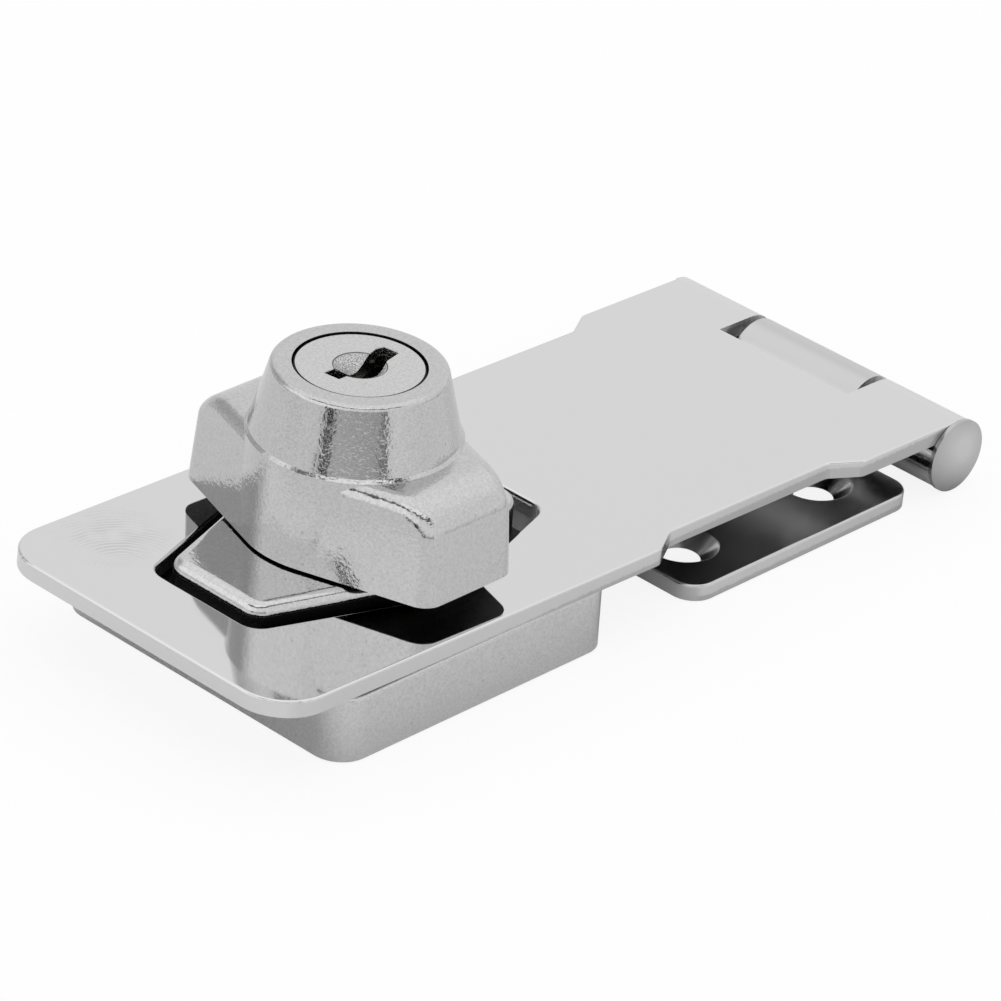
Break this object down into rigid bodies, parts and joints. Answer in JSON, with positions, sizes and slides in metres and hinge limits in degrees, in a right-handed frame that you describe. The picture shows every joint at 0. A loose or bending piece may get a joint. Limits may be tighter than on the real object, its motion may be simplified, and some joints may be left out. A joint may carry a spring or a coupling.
{
  "type": "keyed hasp lock",
  "caption": "Keyed hasp lock: a hinged strap with a long six-sided window closes over a raised seat, and a winged knob that a key locks turns crosswise to hold it shut.",
  "frame": {"origin": "on the mounting surface, on the axis of the turning knob, which is also the centre of the base's screw pattern", "axes": "+X along the hasp towards its hinge, +Y along the hinge pin away from its domed head, +Z away from the mounting surface"},
  "size_m": [0.1144, 0.047, 0.0323],
  "materials": {
    "plated_casting": "bright nickel-chrome plating on zinc die casting, fine cast grain under it",
    "plated_sheet": "bright nickel-chrome plating on rolled steel sheet",
    "brass_wafer": "stamped brass",
    "hardened_steel": "zinc-plated steel",
    "zinc_plated_screw": "zinc-plated steel",
    "spring_steel": "spring wire and strip"
  },
  "bodies": {
    "base": {"base_box": "plated_casting", "hasp_plate": "plated_sheet", "hinge_pin": "plated_sheet", "spring_washer": "spring_steel"},
    "leaf": {"hinge_leaf": "plated_sheet"},
    "knob": {"knob": "plated_casting", "retaining_disc": "hardened_steel", "retaining_screw_1": "zinc_plated_screw", "retaining_screw_2": "zinc_plated_screw"},
    "plug": {"key_plug": "plated_casting", "plug_keeper": "brass_wafer", "keeper_spring": "spring_steel", "wafer_spring_1": "spring_steel", "wafer_spring_2": "spring_steel", "wafer_spring_3": "spring_steel", "wafer_spring_4": "spring_steel", "wafer_spring_5": "spring_steel"},
    "bolt": {"locking_bolt": "hardened_steel"},
    "wafer_1": {"wafer_1": "brass_wafer"},
    "wafer_2": {"wafer_2": "brass_wafer"},
    "wafer_3": {"wafer_3": "brass_wafer"},
    "wafer_4": {"wafer_4": "brass_wafer"},
    "wafer_5": {"wafer_5": "brass_wafer"}
  },
  "joints": [
    {"name": "leaf_swing", "type": "hinge", "parent": "base", "child": "leaf", "pos_m": [0.0784, 0, 0.00438], "axis": [0, -1, 0], "range_deg": [-6, 270]},
    {"name": "knob_turn", "type": "hinge", "parent": "base", "child": "knob", "pos_m": [0, 0, 0], "axis": [0, 0, 1], "range_deg": [0, 90]},
    {"name": "plug_turn", "type": "hinge", "parent": "knob", "child": "plug", "pos_m": [0, 0, 0.02], "axis": [0, 0, 1], "range_deg": [0, 90]},
    {"name": "bolt_slide", "type": "slide", "parent": "knob", "child": "bolt", "axis": [1, 0, 0], "range_m": [0, 0.00283]},
    {"name": "wafer_1_slide", "type": "slide", "parent": "plug", "child": "wafer_1", "axis": [1, 0, 0], "range_m": [0, 0.0009]},
    {"name": "wafer_2_slide", "type": "slide", "parent": "plug", "child": "wafer_2", "axis": [1, 0, 0], "range_m": [0, 0.0009]},
    {"name": "wafer_3_slide", "type": "slide", "parent": "plug", "child": "wafer_3", "axis": [1, 0, 0], "range_m": [0, 0.0009]},
    {"name": "wafer_4_slide", "type": "slide", "parent": "plug", "child": "wafer_4", "axis": [1, 0, 0], "range_m": [0, 0.0009]},
    {"name": "wafer_5_slide", "type": "slide", "parent": "plug", "child": "wafer_5", "axis": [1, 0, 0], "range_m": [0, 0.0009]}
  ],
  "couplings": [
    {"joint": "bolt_slide", "follows": "plug_turn", "m_per_rad": 0.0018}
  ]
}
